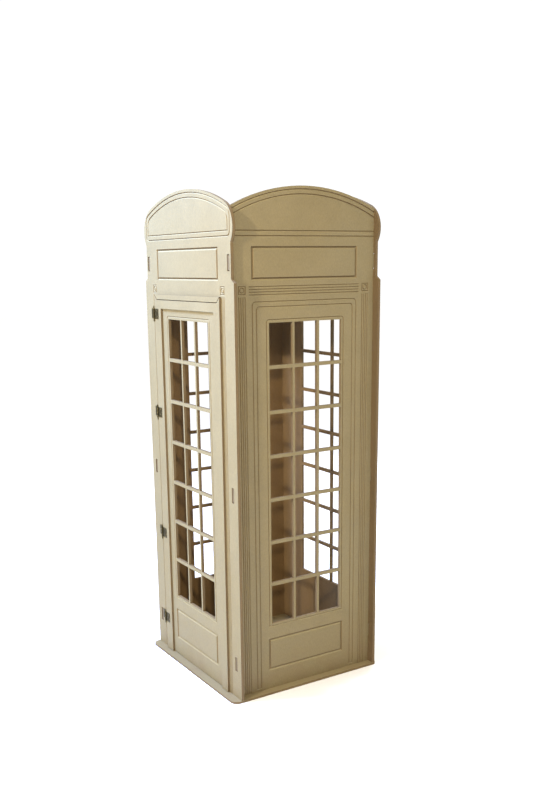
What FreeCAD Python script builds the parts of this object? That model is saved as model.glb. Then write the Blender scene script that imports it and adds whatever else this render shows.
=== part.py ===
import FreeCAD, Part
import math
import os

os.makedirs("parts", exist_ok=True)

# Classic domed telephone booth in flat MDF board, routed with V-grooves and slotted together.
# Millimetres. +Z is up, the front faces -Y and the door side faces -X.
# The origin is on the floor, at the centre of the rectangle that the four walls stand on.

# ---- overall sizes ----
WIDTH = 680.0            # over the outer faces of the two side walls
DEPTH = 750.0            # over the front and back edges of the side walls
BOARD = 12.0             # wall and door board
THIN_BOARD = 9.0         # base plate and the door's raised frame
WALL_HEIGHT = 2000.0     # top of the front and side walls' domed heads above the base plate
BACK_HEIGHT = 1960.0     # the back wall's head is lower and flatter
INSET = 33.0             # front and back walls stand this far inside the side walls' edges

# ---- base plate ----
BASE_DOOR_SIDE = 37.0    # how far the base plate reaches past each wall
BASE_FAR_SIDE = 8.0
BASE_FRONT = 3.0
BASE_DOOR_CORNER = 30.0
BASE_FAR_CORNER = 16.0

# ---- domed heads and side-wall outline, heights above the base plate ----
FRONT_HEAD_RADIUS = 745.0
BACK_HEAD_RADIUS = 1500.0
SIDE_HEAD_RADIUS = 830.0
EAR_RADIUS = 96.0
EAR_INSET = 2.7
NOTCH_INSET = 19.5
NOTCH_BOTTOM = 1662.0
EDGE_TOP = 1648.0

# ---- tabs and slots that lock the walls together ----
TAB_CENTRES = (144.0, 845.0, 1721.0)
TAB_HEIGHT = 54.0
TAB_LENGTH = 10.0
SLOT_HEIGHT = 60.0
SLOT_WIDTH = 17.0
SLOT_EXTRA_OUTSIDE = 4.0   # the part of the slot's play that lies on the tab's outer side

# ---- V-grooves ----
GROOVE = 6.0
REED = 5.0
SIGN_GROOVE = 11.0
DOME_GROOVE_OFFSETS = (13.0, 31.0)
FASCIA_HEIGHTS = (1835.0, 1816.0)
DOME_SIDE_HALVES = (350.0, 334.0)
DOME_SHOULDERS = (36.0, 40.0)
DOME_FOOT = 20.0         # rounding at the outer groove's bottom corners
SIGN_TOP = 1774.0
SIGN_BOTTOM = 1661.0
SIGN_HALF_FRONT = 240.0
SIGN_HALF_SIDE = 253.0
BLOCK_TOP = 1636.0
BLOCK_SIZE = 34.0
BLOCK_RING_RADIUS = 9.0
BLOCK_HALF_FRONT = 287.0
BLOCK_HALF_SIDE = 288.0
HORIZONTAL_REEDS = (1632.0, 1622.0, 1612.0, 1602.0)
HORIZONTAL_REED_HALF = 254.0
REED_OFFSETS = (-13.5, -4.5, 4.5, 13.5)
REED_TOP = 1593.0
OUTLINE_HALVES = (243.0, 225.0)
OUTLINE_TOPS = (1576.0, 1557.0)
OUTLINE_RADII = (16.0, 13.0)
OUTLINE_BOTTOM = 12.0
LOWER_SIGN_TOP = 213.0
LOWER_SIGN_BOTTOM = 86.0
LOWER_SIGN_HALF = 181.0

# ---- windows ----
WINDOW_HALF = 170.0
WINDOW_TOP = 1497.0
WINDOW_BOTTOM = 283.0
WINDOW_COLUMNS = 3
WINDOW_ROWS = 7
UPRIGHT_BAR = 10.0
CROSS_BAR = 14.0
WINDOW_GROOVE_GAP = 11.0
WINDOW_GROOVE_RADIUS = 10.0

# ---- doorway, door, its raised frame and the strip over it ----
DOOR_GAP = 3.0
DOOR_LIFT = 0.3          # the door stands this far out, so that its raised frame clears the wall
DOORWAY_HALF = 270.0
DOORWAY_TOP = 1577.0
DOOR_BOTTOM_GAP = 3.0
FRAME_HALF = 279.0
HINGE_STILE = 58.0
CLOSING_STILE = 48.0
TOP_RAIL_BOTTOM = 1539.0
STRIP_HALF = 257.0       # half the strip's bottom edge; its ends rise outwards at 45 degrees
STRIP_HEIGHT = 20.0
HORN_CLEARANCE = 0.4

# ---- ceiling board ----
CEILING_TOP = 1812.0
CEILING_GAP = 0.5

# ---- finial hinges ----
HINGE_HEIGHTS = (153.0, 555.0, 1096.0, 1516.0)
HINGE_HEIGHT = 42.0
HINGE_PLATE = 1.5
KNUCKLE_RADIUS = 3.2
KNUCKLE_LIFT = 3.5       # pin axis above the door's raised face
PIN_BESIDE_FRAME = 1.5   # pin axis beyond the raised frame's edge
KNUCKLE_GAP = 0.3
PIN_RADIUS = 1.6
PIN_CLEARANCE = 0.05
DOOR_LEAF_WIDTH = 37.0
FRAME_LEAF_WIDTH = 44.0
RISER_OFFSET = 1.4
COLLAR_RADIUS = 3.4
FINIAL_COLLAR = 2.0
FINIAL_NECK = 1.0
FINIAL_NECK_RADIUS = 1.8
FINIAL_BALL_RADIUS = 2.9
FINIAL_TIP_RADIUS = 0.4
FINIAL_HEIGHT = 14.0

# ---- wood screws ----
SCREW_SHANK_RADIUS = 1.4
SCREW_HOLE_RADIUS = 1.5
SCREW_LENGTH = 7.0
SCREW_HEAD_RADIUS = 3.0
SCREW_HEAD_HEIGHT = 1.3
RECESS_LENGTH = 3.0
RECESS_WIDTH = 0.7
RECESS_DEPTH = 0.8
SCREW_ROW = 13.0         # each screw's height above or below the hinge's middle
DOOR_SCREW_OFFSET = 22.0
FRAME_SCREW_OFFSET = 29.0

HALF_W = WIDTH / 2.0
HALF_D = DEPTH / 2.0
FRONT_HALF = HALF_W - BOARD
EAR_HALF = HALF_D - EAR_INSET
PIN_U = FRAME_HALF + PIN_BESIDE_FRAME
RAISE = 0.5              # how far each cutter stands above the face it cuts
UP = FreeCAD.Vector(0, 0, 1)


def vec(x, y, z=0.0):
    return FreeCAD.Vector(x, y, z)


def box(low, high):
    size = high - low
    return Part.makeBox(size.x, size.y, size.z, low)


def prism(points, low, high):
    """Straight-sided solid over a polygon drawn across and up a board."""
    corners = [vec(u, v, low) for u, v in points]
    face = Part.Face(Part.makePolygon(corners + corners[:1]))
    return face.extrude(vec(0, 0, high - low))


def polyhedron(corners, faces):
    shells = [Part.Face(Part.makePolygon([corners[i] for i in loop + loop[:1]])) for loop in faces]
    return Part.makeSolid(Part.makeShell(shells))


# ---- a board is drawn flat: u runs across it, v up it, and w out of its decorated face ----

def stand(shape, across, outward, face_point):
    """Stand a flat board up, with its decorated face through face_point."""
    columns = (across, UP, outward)
    matrix = FreeCAD.Matrix(columns[0].x, columns[1].x, columns[2].x, face_point.x,
                            columns[0].y, columns[1].y, columns[2].y, face_point.y,
                            columns[0].z, columns[1].z, columns[2].z, face_point.z,
                            0, 0, 0, 1)
    placed = shape.copy()
    placed.Placement = FreeCAD.Placement(matrix)
    return placed


def straight_groove(start, end, width, start_point=True, end_point=True):
    """V-groove with 45 degree walls; each end is pointed like a roof's hip, or cut square."""
    (u1, v1), (u2, v2) = start, end
    length = math.hypot(u2 - u1, v2 - v1)
    along = vec((u2 - u1) / length, (v2 - v1) / length)
    side = vec(-along.y, along.x)
    half = width / 2.0 + RAISE
    reach_1 = half if start_point else 0.0
    reach_2 = half if end_point else 0.0
    origin = vec(u1, v1)
    lift = vec(0, 0, RAISE)
    keel = vec(0, 0, -width / 2.0)
    corners = [origin - along * reach_1 - side * half + lift,
               origin + along * (length + reach_2) - side * half + lift,
               origin + along * (length + reach_2) + side * half + lift,
               origin - along * reach_1 + side * half + lift,
               origin + keel,
               origin + along * length + keel]
    faces = [[0, 1, 2, 3], [0, 4, 5, 1], [3, 2, 5, 4], [0, 3, 4], [1, 5, 2]]
    return polyhedron(corners, faces)


def curved_groove(centre, radius, start_angle, end_angle, width):
    """V-groove along an arc; angles in degrees, anticlockwise from +u."""
    half = width / 2.0 + RAISE
    section = [vec(centre[0] + radius - half, centre[1], RAISE),
               vec(centre[0] + radius + half, centre[1], RAISE),
               vec(centre[0] + radius, centre[1], -width / 2.0)]
    face = Part.Face(Part.makePolygon(section + section[:1]))
    middle = vec(centre[0], centre[1])
    face.rotate(middle, UP, start_angle)
    return face.revolve(middle, UP, end_angle - start_angle)


def rectangle_groove(centre_u, half, bottom, top, width):
    low_u, high_u = centre_u - half, centre_u + half
    corners = [(low_u, bottom), (high_u, bottom), (high_u, top), (low_u, top)]
    return [straight_groove(corners[i], corners[(i + 1) % 4], width) for i in range(4)]


def arch_groove(half, bottom, top, radius, width, feet_closed):
    """Groove up one side, round two corners and down the other, with an optional line across."""
    shoulder = top - radius
    inner = half - radius
    grooves = [straight_groove((-half, bottom), (-half, shoulder), width, feet_closed, False),
               straight_groove((half, bottom), (half, shoulder), width, feet_closed, False),
               straight_groove((-inner, top), (inner, top), width, False, False),
               curved_groove((-inner, shoulder), radius, 90, 180, width),
               curved_groove((inner, shoulder), radius, 0, 90, width)]
    if feet_closed:
        grooves.append(straight_groove((-half, bottom), (half, bottom), width))
    return grooves


def corner_block(centre_u):
    """Small routed square with a ring in it."""
    centre_v = BLOCK_TOP - BLOCK_SIZE / 2.0
    half = (BLOCK_SIZE - REED) / 2.0
    square = rectangle_groove(centre_u, half, centre_v - half, centre_v + half, REED)
    return square + [curved_groove((centre_u, centre_v), BLOCK_RING_RADIUS, 0, 360, REED)]


def pilaster(centre_u):
    """Corner block with a band of reeds below it that runs off the board's bottom edge."""
    grooves = corner_block(centre_u)
    for offset in REED_OFFSETS:
        top = (centre_u + offset, REED_TOP)
        foot = (centre_u + offset, -GROOVE)
        grooves.append(straight_groove(foot, top, REED))
    return grooves


def window_cutters():
    """The window's panes, in rows and columns between thin glazing bars."""
    pane_w = (2.0 * WINDOW_HALF - (WINDOW_COLUMNS - 1) * UPRIGHT_BAR) / WINDOW_COLUMNS
    pane_h = (WINDOW_TOP - WINDOW_BOTTOM - (WINDOW_ROWS - 1) * CROSS_BAR) / WINDOW_ROWS
    panes = []
    for column in range(WINDOW_COLUMNS):
        low_u = -WINDOW_HALF + column * (pane_w + UPRIGHT_BAR)
        for row in range(WINDOW_ROWS):
            low_v = WINDOW_BOTTOM + row * (pane_h + CROSS_BAR)
            corner = vec(low_u, low_v, -2.0 * BOARD)
            panes.append(box(corner, corner + vec(pane_w, pane_h, 3.0 * BOARD)))
    return panes


def window_groove():
    """Groove round the window: rounded at the top corners, square at the bottom ones."""
    return arch_groove(WINDOW_HALF + WINDOW_GROOVE_GAP, WINDOW_BOTTOM - WINDOW_GROOVE_GAP,
                       WINDOW_TOP + WINDOW_GROOVE_GAP, WINDOW_GROOVE_RADIUS, REED, True)


def lower_grooves():
    """Groove round the window and the frame of the small sign below it."""
    sign = rectangle_groove(0, LOWER_SIGN_HALF, LOWER_SIGN_BOTTOM, LOWER_SIGN_TOP, SIGN_GROOVE)
    return window_groove() + sign


def door_outline():
    """Two nested outlines; their feet are joined in pairs just above the base plate."""
    grooves = []
    for half, top, radius in zip(OUTLINE_HALVES, OUTLINE_TOPS, OUTLINE_RADII):
        grooves += arch_groove(half, OUTLINE_BOTTOM, top, radius, REED, False)
    for sign in (-1, 1):
        ends = sorted(sign * half for half in OUTLINE_HALVES)
        grooves.append(straight_groove((ends[0], OUTLINE_BOTTOM), (ends[1], OUTLINE_BOTTOM), REED))
    return grooves


def tab_cutters(edge_u):
    """Slots through a side wall, along one of its upright edges."""
    sign = 1.0 if edge_u > 0 else -1.0
    outer = edge_u - sign * (INSET - SLOT_EXTRA_OUTSIDE)
    inner = outer - sign * SLOT_WIDTH
    low_u, high_u = min(outer, inner), max(outer, inner)
    half = SLOT_HEIGHT / 2.0
    return [box(vec(low_u, v - half, -2.0 * BOARD), vec(high_u, v + half, BOARD)) for v in TAB_CENTRES]


# ---- front and back walls ----

def end_wall(height, head_radius):
    """Wall that stands between the side walls: domed head, tabs, window and routed face."""
    centre_v = height - head_radius
    spring = centre_v + math.sqrt(head_radius ** 2 - FRONT_HALF ** 2)
    low_left, low_right = vec(-FRONT_HALF, 0), vec(FRONT_HALF, 0)
    top_left, top_right = vec(-FRONT_HALF, spring), vec(FRONT_HALF, spring)
    outline = Part.Wire([Part.LineSegment(low_left, low_right).toShape(),
                         Part.LineSegment(low_right, top_right).toShape(),
                         Part.Arc(top_right, vec(0, height), top_left).toShape(),
                         Part.LineSegment(top_left, low_left).toShape()])
    board = Part.Face(outline).extrude(vec(0, 0, -BOARD))
    tabs = []
    for v in TAB_CENTRES:
        half = TAB_HEIGHT / 2.0
        for low_u in (-FRONT_HALF - TAB_LENGTH, FRONT_HALF):
            tabs.append(box(vec(low_u, v - half, -BOARD), vec(low_u + TAB_LENGTH, v + half, 0)))
    board = board.fuse(tabs).removeSplitter()

    grooves = []
    for offset in DOME_GROOVE_OFFSETS:
        radius = head_radius - offset
        swing = math.degrees(math.asin((FRONT_HALF + GROOVE) / radius))
        grooves.append(curved_groove((0, centre_v), radius, 90 - swing, 90 + swing, GROOVE))
    for v in FASCIA_HEIGHTS:
        grooves.append(straight_groove((-FRONT_HALF - GROOVE, v), (FRONT_HALF + GROOVE, v), GROOVE))
    grooves += rectangle_groove(0, SIGN_HALF_FRONT, SIGN_BOTTOM, SIGN_TOP, SIGN_GROOVE)
    for v in HORIZONTAL_REEDS:
        grooves.append(straight_groove((-HORIZONTAL_REED_HALF, v), (HORIZONTAL_REED_HALF, v), REED))
    grooves += pilaster(-BLOCK_HALF_FRONT) + pilaster(BLOCK_HALF_FRONT)
    grooves += door_outline() + lower_grooves()
    return board.cut(grooves + window_cutters())


# ---- side walls ----

def shoulder_points(half, centre_v, radius, fillet):
    """Where a small corner arc leaves the upright edge and meets the domed head."""
    reach = radius - fillet
    fillet_v = centre_v + math.sqrt(reach ** 2 - (half - fillet) ** 2)
    slope = math.atan2(fillet_v - centre_v, half - fillet)
    tangent = (radius * math.cos(slope), centre_v + radius * math.sin(slope))
    return fillet_v, slope, tangent


def side_blank():
    """Side wall's outline: straight edge, notch at the sign, bulging ear and domed head."""
    centre_v = WALL_HEIGHT - SIDE_HEAD_RADIUS
    ear_v, slope, tangent = shoulder_points(EAR_HALF, centre_v, SIDE_HEAD_RADIUS, EAR_RADIUS)
    notch_u = HALF_D - NOTCH_INSET
    ear_foot = ear_v - math.sqrt(EAR_RADIUS ** 2 - (notch_u - EAR_HALF + EAR_RADIUS) ** 2)
    right = [(HALF_D, 0.0), (HALF_D, EDGE_TOP), (notch_u, NOTCH_BOTTOM), (notch_u, ear_foot)]
    edges = []
    for sign in (1, -1):
        points = [vec(sign * u, v) for u, v in right]
        edges += [Part.LineSegment(a, b).toShape() for a, b in zip(points, points[1:])]
        ear = Part.Arc(points[-1], vec(sign * EAR_HALF, ear_v), vec(sign * tangent[0], tangent[1]))
        edges.append(ear.toShape())
    edges.append(Part.Arc(vec(*tangent), vec(0, WALL_HEIGHT), vec(-tangent[0], tangent[1])).toShape())
    edges.append(Part.LineSegment(vec(-HALF_D, 0), vec(HALF_D, 0)).toShape())
    outline = Part.Wire(Part.__sortEdges__(edges))
    board = Part.Face(outline).extrude(vec(0, 0, -BOARD))
    return board.cut(tab_cutters(HALF_D) + tab_cutters(-HALF_D))


def domed_groove(offset, half, shoulder, bottom, foot):
    """D-shaped groove that follows the domed head; its bottom corners are rounded if foot is set."""
    centre_v = WALL_HEIGHT - SIDE_HEAD_RADIUS
    radius = SIDE_HEAD_RADIUS - offset
    shoulder_v, slope, _ = shoulder_points(half, centre_v, radius, shoulder)
    angle = math.degrees(slope)
    grooves = [curved_groove((0, centre_v), radius, angle, 180 - angle, GROOVE),
               curved_groove((half - shoulder, shoulder_v), shoulder, 0, angle, GROOVE),
               curved_groove((shoulder - half, shoulder_v), shoulder, 180 - angle, 180, GROOVE)]
    pointed = foot == 0
    for u in (half, -half):
        grooves.append(straight_groove((u, bottom + foot), (u, shoulder_v), GROOVE, pointed, False))
    if foot:
        grooves += [curved_groove((half - foot, bottom + foot), foot, 270, 360, GROOVE),
                    curved_groove((foot - half, bottom + foot), foot, 180, 270, GROOVE)]
    grooves.append(straight_groove((foot - half, bottom), (half - foot, bottom), GROOVE, pointed, pointed))
    return grooves


def head_grooves():
    """Two nested D-shaped grooves in a side wall's domed head, and its sign frame."""
    outer_offset, inner_offset = DOME_GROOVE_OFFSETS
    outer_half, inner_half = DOME_SIDE_HALVES
    outer_shoulder, inner_shoulder = DOME_SHOULDERS
    inner_bottom, outer_bottom = FASCIA_HEIGHTS
    grooves = domed_groove(outer_offset, outer_half, outer_shoulder, outer_bottom, DOME_FOOT)
    grooves += domed_groove(inner_offset, inner_half, inner_shoulder, inner_bottom, 0)
    return grooves + rectangle_groove(0, SIGN_HALF_SIDE, SIGN_BOTTOM, SIGN_TOP, SIGN_GROOVE)


def window_side_wall():
    grooves = head_grooves() + pilaster(-BLOCK_HALF_SIDE) + pilaster(BLOCK_HALF_SIDE)
    for v in HORIZONTAL_REEDS:
        grooves.append(straight_groove((-HORIZONTAL_REED_HALF, v), (HORIZONTAL_REED_HALF, v), REED))
    grooves += door_outline() + lower_grooves()
    return side_blank().cut(grooves + window_cutters())


def door_side_wall():
    grooves = head_grooves() + pilaster(-BLOCK_HALF_SIDE) + pilaster(BLOCK_HALF_SIDE)
    doorway = box(vec(-DOORWAY_HALF, -GROOVE, -2.0 * BOARD), vec(DOORWAY_HALF, DOORWAY_TOP, BOARD))
    return side_blank().cut(grooves + [doorway])


def header_strip():
    """Strip glued over the doorway, level with the door's raised frame; it is longer at the top."""
    top_v = DOORWAY_TOP + STRIP_HEIGHT
    top_half = STRIP_HALF + STRIP_HEIGHT
    outline = [(-STRIP_HALF, DOORWAY_TOP), (STRIP_HALF, DOORWAY_TOP), (top_half, top_v), (-top_half, top_v)]
    return prism(outline, 0.0, THIN_BOARD)


def door_board():
    """Door leaf, which fills the doorway."""
    half = DOORWAY_HALF - DOOR_GAP
    board = box(vec(-half, DOOR_BOTTOM_GAP, -BOARD), vec(half, DOORWAY_TOP - DOOR_GAP, 0.0))
    return board.cut(lower_grooves() + window_cutters())


def door_frame():
    """Raised frame on the door: two stiles and a top rail, with a horn up each end of the strip."""
    # seen from outside, the hinge stile is at the left (low u) and the closing stile at the right
    knee_u = STRIP_HALF + DOOR_GAP * math.tan(math.radians(22.5))
    knee_v = DOORWAY_TOP - DOOR_GAP
    tip_v = knee_v + FRAME_HALF - knee_u
    outline = [(-FRAME_HALF, DOOR_BOTTOM_GAP), (FRAME_HALF, DOOR_BOTTOM_GAP), (FRAME_HALF, tip_v),
               (knee_u, knee_v), (-knee_u, knee_v), (-FRAME_HALF, tip_v)]
    low_corner = vec(HINGE_STILE - FRAME_HALF, -BOARD, -BOARD)
    high_corner = vec(FRAME_HALF - CLOSING_STILE, TOP_RAIL_BOTTOM, 2.0 * BOARD)
    frame = prism(outline, 0.0, THIN_BOARD).cut(box(low_corner, high_corner))
    # the hinge-side horn is bevelled by a cone round the pin, so that it clears the strip as it turns
    room = box(vec(-2.0 * FRAME_HALF, knee_v, -BOARD), vec(0.0, WALL_HEIGHT, 2.0 * BOARD))
    reach = PIN_U - STRIP_HALF - HORN_CLEARANCE + DOORWAY_TOP - knee_v
    pin_foot = vec(-PIN_U, knee_v, THIN_BOARD + KNUCKLE_LIFT)
    cone = Part.makeCone(reach, 0.0, reach, pin_foot, vec(0, 1))
    horn = frame.common(room).common(cone)
    return frame.cut(room).fuse(horn).removeSplitter()


# ---- hinges and screws, drawn in the booth's own frame ----

WALL_X = -HALF_W                                    # outer face of the door-side wall
DOOR_FACE_X = WALL_X - DOOR_LIFT - THIN_BOARD       # raised face of the door
PIN_X = DOOR_FACE_X - KNUCKLE_LIFT
PIN_Y = PIN_U
DOOR_SCREW_Y = PIN_Y - DOOR_SCREW_OFFSET
FRAME_SCREW_Y = PIN_Y + FRAME_SCREW_OFFSET
INWARD = vec(1, 0)


def knuckle(z, length):
    return Part.makeCylinder(KNUCKLE_RADIUS, length, vec(PIN_X, PIN_Y, z))


def pin_bore(z):
    foot = vec(PIN_X, PIN_Y, z - HINGE_HEIGHT)
    return Part.makeCylinder(PIN_RADIUS + PIN_CLEARANCE, 2.0 * HINGE_HEIGHT, foot)


def screw_points(x, y, z):
    """The two screws of a hinge leaf, one above the other on the face at x."""
    return [vec(x, y, z + side * SCREW_ROW) for side in (-1, 1)]


def screw_holes(points):
    """Clearance holes for screws that go in along +X."""
    reach = HINGE_PLATE + SCREW_LENGTH
    starts = [point - INWARD * HINGE_PLATE for point in points]
    return [Part.makeCylinder(SCREW_HOLE_RADIUS, reach, start, INWARD) for start in starts]


def hinge_door_leaf(z):
    """Flat leaf on the door's raised face, carrying the outer two knuckles."""
    segment = (HINGE_HEIGHT - 2.0 * KNUCKLE_GAP) / 3.0
    low = z - HINGE_HEIGHT / 2.0
    plate = box(vec(DOOR_FACE_X - HINGE_PLATE, PIN_Y - DOOR_LEAF_WIDTH, low),
                vec(DOOR_FACE_X, PIN_Y - KNUCKLE_RADIUS, low + HINGE_HEIGHT))
    arms = []
    for start in (low, low + 2.0 * (segment + KNUCKLE_GAP)):
        arms.append(knuckle(start, segment))
        arms.append(box(vec(DOOR_FACE_X - HINGE_PLATE, PIN_Y - KNUCKLE_RADIUS, start),
                        vec(DOOR_FACE_X - KNUCKLE_GAP, PIN_Y, start + segment)))
    leaf = plate.fuse(arms).removeSplitter()
    holes = screw_holes(screw_points(DOOR_FACE_X, DOOR_SCREW_Y, z))
    return leaf.cut(holes + [pin_bore(z)])


def hinge_frame_leaf(z):
    """Cranked leaf: flat on the wall, then out past the door's edge to the middle knuckle."""
    segment = (HINGE_HEIGHT - 2.0 * KNUCKLE_GAP) / 3.0
    low = z - HINGE_HEIGHT / 2.0
    middle = low + segment + KNUCKLE_GAP
    riser_y = PIN_Y + RISER_OFFSET
    plate = box(vec(WALL_X - HINGE_PLATE, riser_y, low),
                vec(WALL_X, PIN_Y + FRAME_LEAF_WIDTH, low + HINGE_HEIGHT))
    riser = box(vec(DOOR_FACE_X + KNUCKLE_GAP, riser_y, low),
                vec(WALL_X, riser_y + HINGE_PLATE, low + HINGE_HEIGHT))
    neck = box(vec(PIN_X, riser_y, middle),
               vec(DOOR_FACE_X + 2.0 * KNUCKLE_GAP, riser_y + HINGE_PLATE, middle + segment))
    leaf = plate.fuse([riser, neck, knuckle(middle, segment)]).removeSplitter()
    holes = screw_holes(screw_points(WALL_X, FRAME_SCREW_Y, z))
    return leaf.cut(holes + [pin_bore(z)])


def hinge_pin(z):
    """Pin with a collar, ball and steeple point at each end."""
    shoulder = HINGE_HEIGHT / 2.0 + KNUCKLE_GAP
    collar_top = shoulder + FINIAL_COLLAR
    ball_bottom = collar_top + FINIAL_NECK
    ball_middle = ball_bottom + FINIAL_BALL_RADIUS
    tip = shoulder + FINIAL_HEIGHT
    edges = [Part.LineSegment(vec(0, 0, 0), vec(PIN_RADIUS, 0, 0)),
             Part.LineSegment(vec(PIN_RADIUS, 0, 0), vec(PIN_RADIUS, 0, shoulder)),
             Part.LineSegment(vec(PIN_RADIUS, 0, shoulder), vec(COLLAR_RADIUS, 0, shoulder)),
             Part.LineSegment(vec(COLLAR_RADIUS, 0, shoulder), vec(COLLAR_RADIUS, 0, collar_top)),
             Part.LineSegment(vec(COLLAR_RADIUS, 0, collar_top), vec(FINIAL_NECK_RADIUS, 0, collar_top)),
             Part.LineSegment(vec(FINIAL_NECK_RADIUS, 0, collar_top),
                              vec(FINIAL_NECK_RADIUS, 0, ball_bottom)),
             Part.Arc(vec(FINIAL_NECK_RADIUS, 0, ball_bottom), vec(FINIAL_BALL_RADIUS, 0, ball_middle),
                      vec(FINIAL_NECK_RADIUS, 0, ball_middle + FINIAL_BALL_RADIUS)),
             Part.LineSegment(vec(FINIAL_NECK_RADIUS, 0, ball_middle + FINIAL_BALL_RADIUS),
                              vec(FINIAL_TIP_RADIUS, 0, tip)),
             Part.LineSegment(vec(FINIAL_TIP_RADIUS, 0, tip), vec(0, 0, tip)),
             Part.LineSegment(vec(0, 0, tip), vec(0, 0, 0))]
    profile = Part.Wire([edge.toShape() for edge in edges])
    upper = Part.Face(profile).revolve(vec(0, 0), UP, 360)
    lower = upper.mirror(vec(0, 0), UP)
    pin = upper.fuse(lower).removeSplitter()
    pin.translate(vec(PIN_X, PIN_Y, z))
    return pin


def wood_screw(point):
    """Domed cross-head screw seated on a hinge leaf, its shank going into the board along +X."""
    seat = vec(-HINGE_PLATE, 0)
    shank = Part.makeCylinder(SCREW_SHANK_RADIUS, HINGE_PLATE + SCREW_LENGTH, seat, INWARD)
    cap_radius = (SCREW_HEAD_RADIUS ** 2 + SCREW_HEAD_HEIGHT ** 2) / (2.0 * SCREW_HEAD_HEIGHT)
    crown_x = -HINGE_PLATE - SCREW_HEAD_HEIGHT
    ball = Part.makeSphere(cap_radius, vec(crown_x + cap_radius, 0))
    room = 2.0 * cap_radius
    above = box(vec(-HINGE_PLATE - room, -room, -room), vec(-HINGE_PLATE, room, room))
    screw = shank.fuse(ball.common(above)).removeSplitter()
    recess = []
    for half_y, half_z in ((RECESS_LENGTH, RECESS_WIDTH), (RECESS_WIDTH, RECESS_LENGTH)):
        low_corner = vec(crown_x - RAISE, -half_y / 2.0, -half_z / 2.0)
        recess.append(box(low_corner, vec(crown_x + RECESS_DEPTH, half_y / 2.0, half_z / 2.0)))
    screw = screw.cut(recess)
    screw.translate(point)
    return screw


def base_plate():
    """Flat plate with rounded corners that stands furthest out on the door side."""
    half_y = HALF_D + BASE_FRONT
    plate = box(vec(-HALF_W - BASE_DOOR_SIDE, -half_y, 0), vec(HALF_W + BASE_FAR_SIDE, half_y, THIN_BOARD))
    for sign, radius in ((-1, BASE_DOOR_CORNER), (1, BASE_FAR_CORNER)):
        corners = [edge for edge in plate.Edges
                   if edge.BoundBox.ZLength > THIN_BOARD / 2.0 and sign * edge.CenterOfMass.x > HALF_W]
        plate = plate.makeFillet(radius, corners)
    return plate


def ceiling_panel():
    half_x = FRONT_HALF - CEILING_GAP
    half_y = HALF_D - INSET - BOARD - CEILING_GAP
    top = THIN_BOARD + CEILING_TOP
    return box(vec(-half_x, -half_y, top - BOARD), vec(half_x, half_y, top))


def export(name, shape):
    shape.exportStep("parts/" + name + ".step")


# ---- put the booth together ----

x_axis, y_axis = vec(1, 0), vec(0, 1)
front_point = vec(0, -HALF_D + INSET, THIN_BOARD)
back_point = vec(0, HALF_D - INSET, THIN_BOARD)
right_point = vec(HALF_W, 0, THIN_BOARD)
left_point = vec(-HALF_W, 0, THIN_BOARD)
hinge_levels = [THIN_BOARD + height for height in HINGE_HEIGHTS]

door_screw_points = []
frame_screw_points = []
for level in hinge_levels:
    door_screw_points += screw_points(DOOR_FACE_X, DOOR_SCREW_Y, level)
    frame_screw_points += screw_points(WALL_X, FRAME_SCREW_Y, level)

door_point = left_point - DOOR_LIFT * x_axis
left_board = stand(door_side_wall(), -y_axis, -x_axis, left_point)
raised_frame = stand(door_frame(), -y_axis, -x_axis, door_point)

export("base_plate", base_plate())
export("front_panel", stand(end_wall(WALL_HEIGHT, FRONT_HEAD_RADIUS), x_axis, -y_axis, front_point))
export("back_panel", stand(end_wall(BACK_HEIGHT, BACK_HEAD_RADIUS), -x_axis, y_axis, back_point))
export("right_panel", stand(window_side_wall(), y_axis, x_axis, right_point))
export("left_panel", left_board.cut(screw_holes(frame_screw_points)))
export("ceiling_panel", ceiling_panel())
export("header_strip", stand(header_strip(), -y_axis, -x_axis, left_point))
export("door_leaf", stand(door_board(), -y_axis, -x_axis, door_point))
export("door_face_frame", raised_frame.cut(screw_holes(door_screw_points)))
for number, level in enumerate(hinge_levels, start=1):
    export("hinge_%d_door_leaf" % number, hinge_door_leaf(level))
    export("hinge_%d_frame_leaf" % number, hinge_frame_leaf(level))
    export("hinge_%d_pin" % number, hinge_pin(level))
export("door_screws", Part.makeCompound([wood_screw(point) for point in door_screw_points]))
export("frame_screws", Part.makeCompound([wood_screw(point) for point in frame_screw_points]))
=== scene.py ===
import math

import bpy
from mathutils import Matrix, Vector


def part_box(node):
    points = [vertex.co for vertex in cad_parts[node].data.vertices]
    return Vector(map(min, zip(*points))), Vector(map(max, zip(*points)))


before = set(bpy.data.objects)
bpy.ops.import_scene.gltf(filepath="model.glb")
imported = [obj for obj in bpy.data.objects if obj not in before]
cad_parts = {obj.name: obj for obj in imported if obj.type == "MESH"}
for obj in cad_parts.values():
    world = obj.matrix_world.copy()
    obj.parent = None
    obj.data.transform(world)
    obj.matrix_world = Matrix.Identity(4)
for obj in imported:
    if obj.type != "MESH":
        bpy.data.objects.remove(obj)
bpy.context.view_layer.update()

# Raw MDF telephone booth on a pale floor. Metres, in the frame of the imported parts.
# The front faces -Y and the door side faces -X.

TO_FRONT = Vector((0, -1, 0))
TO_BACK = Vector((0, 1, 0))
TO_DOOR_SIDE = Vector((-1, 0, 0))
TO_FAR_SIDE = Vector((1, 0, 0))
UP = Vector((0, 0, 1))

# each board and the way its decorated face looks
OUTWARD = {
    "front_panel": TO_FRONT,
    "back_panel": TO_BACK,
    "right_panel": TO_FAR_SIDE,
    "left_panel": TO_DOOR_SIDE,
    "door_leaf": TO_DOOR_SIDE,
    "header_strip": TO_DOOR_SIDE,
    "door_face_frame": TO_DOOR_SIDE,
    "base_plate": UP,
    "ceiling_panel": UP,
}
TABBED_BOARDS = ("front_panel", "back_panel")

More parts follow.
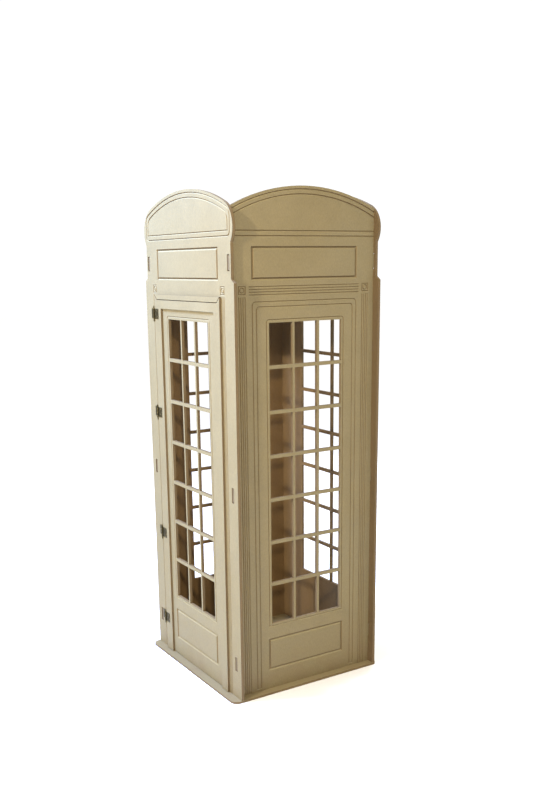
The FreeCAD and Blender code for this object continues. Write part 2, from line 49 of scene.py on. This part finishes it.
# ---- board colours, as linear light ----
FACE = (0.208, 0.168, 0.086)
FACE_WARM = (0.202, 0.159, 0.077)
# routed core, browner than the face, reached deeper in the groove: partly the core's own colour, partly
# painted shade
GROOVE_CORE_AND_SHADE = (0.122, 0.073, 0.028)
GROOVE_WIDE = (0.180, 0.136, 0.064)     # deep inside the wide grooves, with lighter painted shade
GROOVE_TOP_SHADE = (0.100, 0.065, 0.028)      # painted shade on a groove's upper wall
GROOVE_SILL_HIGHLIGHT = (0.262, 0.215, 0.112)     # painted highlight on a groove's lower wall
EDGE_CORE = (0.165, 0.116, 0.056)
EDGE_SKIN = (0.100, 0.063, 0.028)
TAB_END_SHADE = (0.120, 0.085, 0.042)         # painted shade on the ends of the tabs that show in the side walls
INNER = (0.188, 0.118, 0.051)
MARGIN_SHADE = (0.100, 0.064, 0.026)          # painted shade on the inner faces of the side walls, outside the cabin
# colour towards which the boards darken in patches near the floor
LOW_DARK = (0.150, 0.100, 0.055)

# ---- board surface ----
BOARD_SHIFT = (3.7, 1.9, 5.3)           # moves the pattern from one board to the next
FACE_LIMITS = (0.90, 0.99)              # cosines between which a surface becomes a flat face
GROOVE_LIMITS = (0.35, 0.60)            # cosines between which a surface becomes a groove's wall
UPRIGHT_FIBRE = (1.0, 1.0, 0.45)        # fibres are about twice as long upwards
# depths over which the painted shade deepens in a groove
GROOVE_DEPTHS = (0.0002, 0.0024)
WIDE_GROOVE_DEPTHS = (0.0026, 0.0036)
LIFT_LIMITS = (0.25, 0.60)              # how far a groove's wall looks up or down, for its painted shade and painted highlight
SKIN_START = 0.25                       # parts of the thickness, from the middle of the board
SKIN_FULL = 0.48
LAYERS_ALONG = 9.0                      # noise scales along the board and through it
LAYERS_THROUGH = 900.0
EDGE_CONTRAST = 0.55
TAB_START = 0.334                       # where the painted shade on the tab ends starts, from the middle of the booth, across it
CABIN_HALF = 0.340                      # from the middle of the booth to the cabin's front or back
MASK_BLEND = 0.002
# height and strength of the darkening towards the bottom
LOW_DARK_HEIGHT = 0.30
LOW_DARK_STRENGTH = 0.45
FIBRE_BUMP = 0.0006
MOTTLE_BUMP = 0.002

# ---- bronze ----
BRONZE = (0.060, 0.047, 0.020)
BRONZE_WORN = (0.28, 0.215, 0.09)
BRONZE_SHIFT = (1.0, 2.3, 0.7)
SCRATCH_STRETCH = (300.0, 300.0, 2600.0)    # thin level scratches
WEAR_WIDTH = 0.22                       # from the noise value where wear starts to full wear

# ---- floor and sky ----
FLOOR_HALF = 30.0
FLOOR_COLOURS = ((0.715, 0.72, 0.73), (0.73, 0.735, 0.745))
SKY_TOWARDS_BRIGHT = (-0.30, 0.95, 0.10)
SKY_TURN = (-0.55, 0.45)                # cosines between which the sky turns from dim to bright
SKY_DIM = 0.52
SKY_BRIGHT = 1.05
SKY_DIM_COLOUR = (1.0, 0.94, 0.84)
SKY_BRIGHT_COLOUR = (1.0, 1.0, 1.0)
SKY_OVERHEAD = 1.1
SKY_OVERHEAD_START = 0.30

# ---- camera ----
CAMERA_PLACE = Vector((-2.065, -3.335, 1.722))
YAW = math.radians(31.73)
PITCH = math.radians(13.18)
ROLL = math.radians(0.767)
LENS = 41.55
SHIFT = (0.0067, 0.101)


class Nodes:
    """A node tree, with helpers that add nodes and return an output socket."""

    def __init__(self, tree):
        self.tree = tree

    def add(self, kind, **settings):
        node = self.tree.nodes.new("ShaderNode" + kind)
        for setting, value in settings.items():
            setattr(node, setting, value)
        return node

    def link(self, source, target):
        self.tree.links.new(source, target)

    def feed(self, value, target):
        if isinstance(value, bpy.types.NodeSocket):
            self.link(value, target)
        else:
            target.default_value = value

    def math(self, operation, first, second=0.0, clamp=False):
        node = self.add("Math", operation=operation, use_clamp=clamp)
        self.feed(first, node.inputs[0])
        self.feed(second, node.inputs[1])
        return node.outputs[0]

    def vector_math(self, operation, vector, fixed):
        node = self.add("VectorMath", operation=operation)
        self.link(vector, node.inputs[0])
        node.inputs[1].default_value = fixed
        return node

    def dot(self, vector, direction):
        return self.vector_math("DOT_PRODUCT", vector, direction).outputs["Value"]

    def stretch(self, vector, scale):
        return self.vector_math("MULTIPLY", vector, scale).outputs["Vector"]

    def shift(self, vector, seed, step):
        return self.vector_math("ADD", vector, tuple(seed * part for part in step)).outputs["Vector"]

    def noise(self, vector, scale, detail, roughness=0.5, distortion=0.0):
        node = self.add("TexNoise")
        self.link(vector, node.inputs["Vector"])
        node.inputs["Scale"].default_value = scale
        node.inputs["Detail"].default_value = detail
        node.inputs["Roughness"].default_value = roughness
        node.inputs["Distortion"].default_value = distortion
        return node.outputs["Fac"]

    def step(self, value, low, high, out_low=0.0, out_high=1.0):
        """Smooth change from out_low to out_high as value goes from low to high."""
        node = self.add("MapRange", interpolation_type="SMOOTHSTEP")
        self.feed(value, node.inputs["Value"])
        node.inputs["From Min"].default_value = low
        node.inputs["From Max"].default_value = high
        node.inputs["To Min"].default_value = out_low
        node.inputs["To Max"].default_value = out_high
        return node.outputs["Result"]

    def mix(self, factor, first, second, blend="MIX"):
        node = self.add("Mix", data_type="RGBA", blend_type=blend)
        self.feed(factor, node.inputs[0])
        for colour, socket in ((first, node.inputs[6]), (second, node.inputs[7])):
            self.feed(colour if isinstance(colour, bpy.types.NodeSocket) else (*colour, 1.0), socket)
        return node.outputs[2]

    def bump(self, height, strength, distance, normal=None):
        node = self.add("Bump")
        self.feed(strength, node.inputs["Strength"])
        node.inputs["Distance"].default_value = distance
        self.link(height, node.inputs["Height"])
        if normal is not None:
            self.link(normal, node.inputs["Normal"])
        return node.outputs["Normal"]


def new_surface(name):
    """New material with one Principled shader; returns the material, its nodes and the shader."""
    material = bpy.data.materials.new(name)
    material.use_nodes = True
    nodes = Nodes(material.node_tree)
    nodes.tree.nodes.clear()
    output = nodes.add("OutputMaterial")
    shader = nodes.add("BsdfPrincipled")
    nodes.link(shader.outputs["BSDF"], output.inputs["Surface"])
    return material, nodes, shader


def edge_colour(nodes, place, depth, outward, thickness):
    """Cut edge: denser dark skins either side of a lighter core, in fine layers."""
    layer_scales = tuple(LAYERS_ALONG if abs(part) < 0.5 else LAYERS_THROUGH for part in outward)
    layers = nodes.noise(nodes.stretch(place, layer_scales), scale=1.0, detail=4.0, roughness=0.65)
    from_middle = nodes.math("ABSOLUTE", nodes.math("SUBTRACT", depth, thickness / 2.0))
    skin = nodes.step(from_middle, SKIN_START * thickness, SKIN_FULL * thickness)
    darkness = nodes.math("MULTIPLY", nodes.math("ADD", skin, layers), EDGE_CONTRAST, clamp=True)
    return nodes.mix(darkness, EDGE_CORE, EDGE_SKIN)


def groove_colour(nodes, depth, normal):
    """Routed groove: brown core below the face, darkened with depth as painted shade; painted shade on its
    upper wall and a painted highlight on its lower wall.
    """
    colour = nodes.mix(nodes.step(depth, *GROOVE_DEPTHS), FACE_WARM, GROOVE_CORE_AND_SHADE)
    colour = nodes.mix(nodes.step(depth, *WIDE_GROOVE_DEPTHS), colour, GROOVE_WIDE)
    lift = nodes.dot(normal, UP)
    # painted shade on walls that face down, painted highlight on walls that face up
    colour = nodes.mix(nodes.step(lift, -LIFT_LIMITS[0], -LIFT_LIMITS[1]), colour, GROOVE_TOP_SHADE)
    return nodes.mix(nodes.step(lift, *LIFT_LIMITS), colour, GROOVE_SILL_HIGHLIGHT)


def inner_colour(nodes, position):
    """Brown inner face, with painted shade on the side walls' margins outside the cabin."""
    along = nodes.math("ABSOLUTE", nodes.dot(position, TO_BACK))
    return nodes.mix(nodes.step(along, CABIN_HALF - MASK_BLEND, CABIN_HALF + MASK_BLEND), INNER, MARGIN_SHADE)


def darker_low_and_mottled(nodes, colour, height, mottle, fibre, fleck):
    """Colour darker in patches near the floor, with a soft mottle, short fibres and dark flecks."""
    low_down = nodes.math("MULTIPLY", nodes.step(height, LOW_DARK_HEIGHT, 0.0), nodes.step(mottle, 0.35, 0.75))
    colour = nodes.mix(nodes.math("MULTIPLY", low_down, LOW_DARK_STRENGTH), colour, LOW_DARK)
    mottle_tone = nodes.step(mottle, 0.25, 0.75, out_low=0.95, out_high=1.04)
    fibre_tone = nodes.step(fibre, 0.30, 0.72, out_low=-0.12, out_high=0.10)
    fleck_tone = nodes.step(fleck, 0.58, 0.75, out_low=0.0, out_high=-0.10)
    tone = nodes.math("ADD", nodes.math("ADD", mottle_tone, fibre_tone), fleck_tone)
    grey = nodes.add("CombineColor")
    for socket in grey.inputs[:3]:
        nodes.link(tone, socket)
    return nodes.mix(1.0, colour, grey.outputs[0], blend="MULTIPLY")


def board_material(node, outward, seed):
    """MDF board: pale smooth face, routed grooves with painted shade and highlights, brown layered cut
    edges with painted shade on the tab ends, and a brown back with painted shade on the side walls'
    margins.
    """
    low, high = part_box(node)
    plane = max(outward.dot(low), outward.dot(high))
    thickness = abs(outward.dot(high - low))
    material, nodes, shader = new_surface("mdf_" + node)
    coordinate = nodes.add("TexCoord")
    position = coordinate.outputs["Object"]
    surface_normal = coordinate.outputs["Normal"]
    place = nodes.shift(position, seed, BOARD_SHIFT)

    facing = nodes.dot(surface_normal, outward)
    depth = nodes.math("SUBTRACT", plane, nodes.dot(position, outward))
    face_mask = nodes.step(facing, *FACE_LIMITS)
    not_face = nodes.math("SUBTRACT", 1.0, face_mask)
    groove_mask = nodes.math("MULTIPLY", nodes.step(facing, *GROOVE_LIMITS), not_face)
    inner_mask = nodes.step(facing, -FACE_LIMITS[0], -FACE_LIMITS[1])

    mottle = nodes.noise(place, scale=7.0, detail=5.0, roughness=0.6, distortion=0.4)
    patch = nodes.noise(place, scale=2.1, detail=3.0, roughness=0.55, distortion=0.2)
    fibre_place = nodes.stretch(place, UPRIGHT_FIBRE)
    fibre = nodes.noise(fibre_place, scale=260.0, detail=6.0, roughness=0.72, distortion=0.6)
    fleck = nodes.noise(place, scale=900.0, detail=3.0, roughness=0.6)

    edge = edge_colour(nodes, place, depth, outward, thickness)
    if node in TABBED_BOARDS:
        # painted shade on the tab ends, which sit in their slots
        across = nodes.math("ABSOLUTE", nodes.dot(position, TO_FAR_SIDE))
        edge = nodes.mix(nodes.step(across, TAB_START, TAB_START + MASK_BLEND), edge, TAB_END_SHADE)
    colour = nodes.mix(groove_mask, edge, groove_colour(nodes, depth, surface_normal))
    colour = nodes.mix(face_mask, colour, nodes.mix(nodes.step(patch, 0.35, 0.70), FACE, FACE_WARM))
    colour = nodes.mix(inner_mask, colour, inner_colour(nodes, position))
    colour = darker_low_and_mottled(nodes, colour, nodes.dot(position, UP), mottle, fibre, fleck)
    nodes.link(colour, shader.inputs["Base Color"])

    smooth_rough = nodes.step(mottle, 0.2, 0.8, out_low=0.66, out_high=0.78)
    cut_rough = nodes.math("ADD", smooth_rough, nodes.math("MULTIPLY", not_face, 0.14))
    fibre_rough = nodes.step(fibre, 0.3, 0.7, out_low=-0.04, out_high=0.05)
    nodes.link(nodes.math("ADD", cut_rough, fibre_rough), shader.inputs["Roughness"])
    shader.inputs["Specular IOR Level"].default_value = 0.28

    fuzz = nodes.step(face_mask, 0.0, 1.0, out_low=0.55, out_high=0.16)
    fibre_normal = nodes.bump(fibre, fuzz, FIBRE_BUMP)
    nodes.link(nodes.bump(mottle, 0.12, MOTTLE_BUMP, fibre_normal), shader.inputs["Normal"])
    return material


def bronze_material(name, seed, wear_start):
    """Dark antique bronze that is rubbed brighter in patches."""
    material, nodes, shader = new_surface(name)
    coordinate = nodes.add("TexCoord")
    place = nodes.shift(coordinate.outputs["Object"], seed, BRONZE_SHIFT)
    cloud = nodes.noise(place, scale=110.0, detail=6.0, roughness=0.62, distortion=0.5)
    grain = nodes.noise(place, scale=700.0, detail=4.0, roughness=0.6)
    scratch = nodes.noise(nodes.stretch(place, SCRATCH_STRETCH), scale=1.0, detail=2.0, roughness=0.5)

    worn_patch = nodes.step(cloud, wear_start, wear_start + WEAR_WIDTH)
    rub = nodes.math("MULTIPLY", worn_patch, nodes.step(scratch, 0.3, 0.65, out_low=0.5, out_high=1.0))
    nodes.link(nodes.mix(rub, BRONZE, BRONZE_WORN), shader.inputs["Base Color"])
    shader.inputs["Metallic"].default_value = 1.0
    rub_rough = nodes.step(rub, 0.0, 1.0, out_low=0.58, out_high=0.34)
    grain_rough = nodes.step(grain, 0.3, 0.7, out_low=-0.06, out_high=0.08)
    nodes.link(nodes.math("ADD", rub_rough, grain_rough), shader.inputs["Roughness"])
    grain_normal = nodes.bump(grain, 0.25, 0.0002)
    nodes.link(nodes.bump(cloud, 0.2, 0.0006, grain_normal), shader.inputs["Normal"])
    return material


def floor_material():
    """Pale matt floor with a faint cloudiness."""
    material, nodes, shader = new_surface("pale_floor")
    coordinate = nodes.add("TexCoord")
    cloud = nodes.noise(coordinate.outputs["Object"], scale=1.3, detail=3.0)
    nodes.link(nodes.mix(cloud, *FLOOR_COLOURS), shader.inputs["Base Color"])
    shader.inputs["Roughness"].default_value = 0.9
    shader.inputs["Specular IOR Level"].default_value = 0.1
    return material


def paint(node, material):
    """Put one material on a whole node."""
    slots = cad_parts[node].material_slots
    if not slots:
        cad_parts[node].data.materials.append(material)
    for slot in slots:
        slot.material = material


def paint_booth():
    """Give every board its own MDF and every hinge and screw its bronze."""
    for seed, (node, outward) in enumerate(OUTWARD.items(), start=1):
        paint(node, board_material(node, outward, seed))
    leaf_bronze = bronze_material("bronze_leaf", seed=2.0, wear_start=0.50)
    pin_bronze = bronze_material("bronze_pin", seed=5.0, wear_start=0.46)
    screw_bronze = bronze_material("bronze_screw", seed=9.0, wear_start=0.42)
    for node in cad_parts:
        if node.endswith("_pin"):
            paint(node, pin_bronze)
        elif node.startswith("hinge_"):
            paint(node, leaf_bronze)
        elif node.endswith("_screws"):
            paint(node, screw_bronze)


def lay_floor():
    """Large pale floor at the height that the booth stands on."""
    mesh = bpy.data.meshes.new("floor")
    corners = [(x * FLOOR_HALF, y * FLOOR_HALF, 0) for x, y in ((-1, -1), (1, -1), (1, 1), (-1, 1))]
    mesh.from_pydata(corners, [], [(0, 1, 2, 3)])
    floor = bpy.data.objects.new("floor", mesh)
    bpy.context.scene.collection.objects.link(floor)
    mesh.materials.append(floor_material())


def light_sky():
    """Pale sky that is brighter overhead, and dimmer and warmer behind the camera."""
    world = bpy.data.worlds.new("studio")
    bpy.context.scene.world = world
    world.use_nodes = True
    background = world.node_tree.nodes["Background"]
    nodes = Nodes(world.node_tree)
    direction = nodes.add("TexCoord").outputs["Generated"]
    towards_bright = nodes.dot(direction, SKY_TOWARDS_BRIGHT)
    around = nodes.step(towards_bright, *SKY_TURN, out_low=SKY_DIM, out_high=SKY_BRIGHT)
    lift = nodes.dot(direction, UP)
    overhead = nodes.step(lift, SKY_OVERHEAD_START, 1.0, out_low=0.0, out_high=SKY_OVERHEAD)
    nodes.link(nodes.math("ADD", around, overhead), background.inputs["Strength"])
    tint = nodes.mix(nodes.step(towards_bright, *SKY_TURN), SKY_DIM_COLOUR, SKY_BRIGHT_COLOUR)
    nodes.link(tint, background.inputs["Color"])


def from_target(target, azimuth, elevation, distance):
    """Point at a distance from a target; azimuth turns from -X towards -Y, in degrees."""
    turn = math.radians(azimuth)
    rise = math.radians(elevation)
    direction = Vector((-math.cos(turn) * math.cos(rise), -math.sin(turn) * math.cos(rise), math.sin(rise)))
    return target + direction * distance


def area_light(name, place, target, size, power, colour):
    """Round light that shines from a place towards a target and isn't seen itself."""
    light = bpy.data.lights.new(name, "AREA")
    light.shape = "DISK"
    light.size = size
    light.energy = power
    light.color = colour
    lamp = bpy.data.objects.new(name, light)
    lamp.location = place
    lamp.rotation_euler = (target - place).to_track_quat("-Z", "Y").to_euler()
    lamp.visible_camera = False
    bpy.context.scene.collection.objects.link(lamp)


def light_booth():
    """Small warm lights on the door side and the front, large ones high up and on the far side."""
    middle = Vector((-0.3, 0.0, 1.25))
    key_place = from_target(middle, azimuth=22.0, elevation=20.0, distance=3.2)
    fill_place = from_target(middle, azimuth=64.0, elevation=24.0, distance=4.0)
    area_light("key", key_place, middle, size=0.15, power=110.0, colour=(1.0, 0.91, 0.75))
    area_light("front_fill", fill_place, middle, size=0.10, power=74.0, colour=(1.0, 0.84, 0.58))
    area_light("side_window", Vector((-2.0, 0.9, 3.8)), Vector((-0.3, 0.0, 2.1)),
               size=1.3, power=500.0, colour=(0.30, 0.48, 1.0))
    area_light("far_fill", Vector((3.4, 2.2, 2.8)), Vector((0.3, 0.1, 1.1)),
               size=1.8, power=130.0, colour=(1.0, 0.97, 0.92))


def place_camera():
    """Camera that looks down at the booth from in front, on the door side."""
    forward = Vector((math.sin(YAW) * math.cos(PITCH), math.cos(YAW) * math.cos(PITCH), -math.sin(PITCH)))
    level_right = Vector((math.cos(YAW), -math.sin(YAW), 0.0))
    level_up = level_right.cross(forward)
    right = level_right * math.cos(ROLL) - level_up * math.sin(ROLL)
    up = right.cross(forward)
    camera_data = bpy.data.cameras.new("camera")
    camera_data.lens = LENS
    camera_data.shift_x, camera_data.shift_y = SHIFT
    camera = bpy.data.objects.new("camera", camera_data)
    bpy.context.scene.collection.objects.link(camera)
    turn = Matrix((right, up, -forward)).transposed().to_4x4()
    camera.matrix_world = Matrix.Translation(CAMERA_PLACE) @ turn
    bpy.context.scene.camera = camera


paint_booth()
lay_floor()
light_sky()
light_booth()
bpy.context.scene.view_settings.view_transform = "Standard"
place_camera()
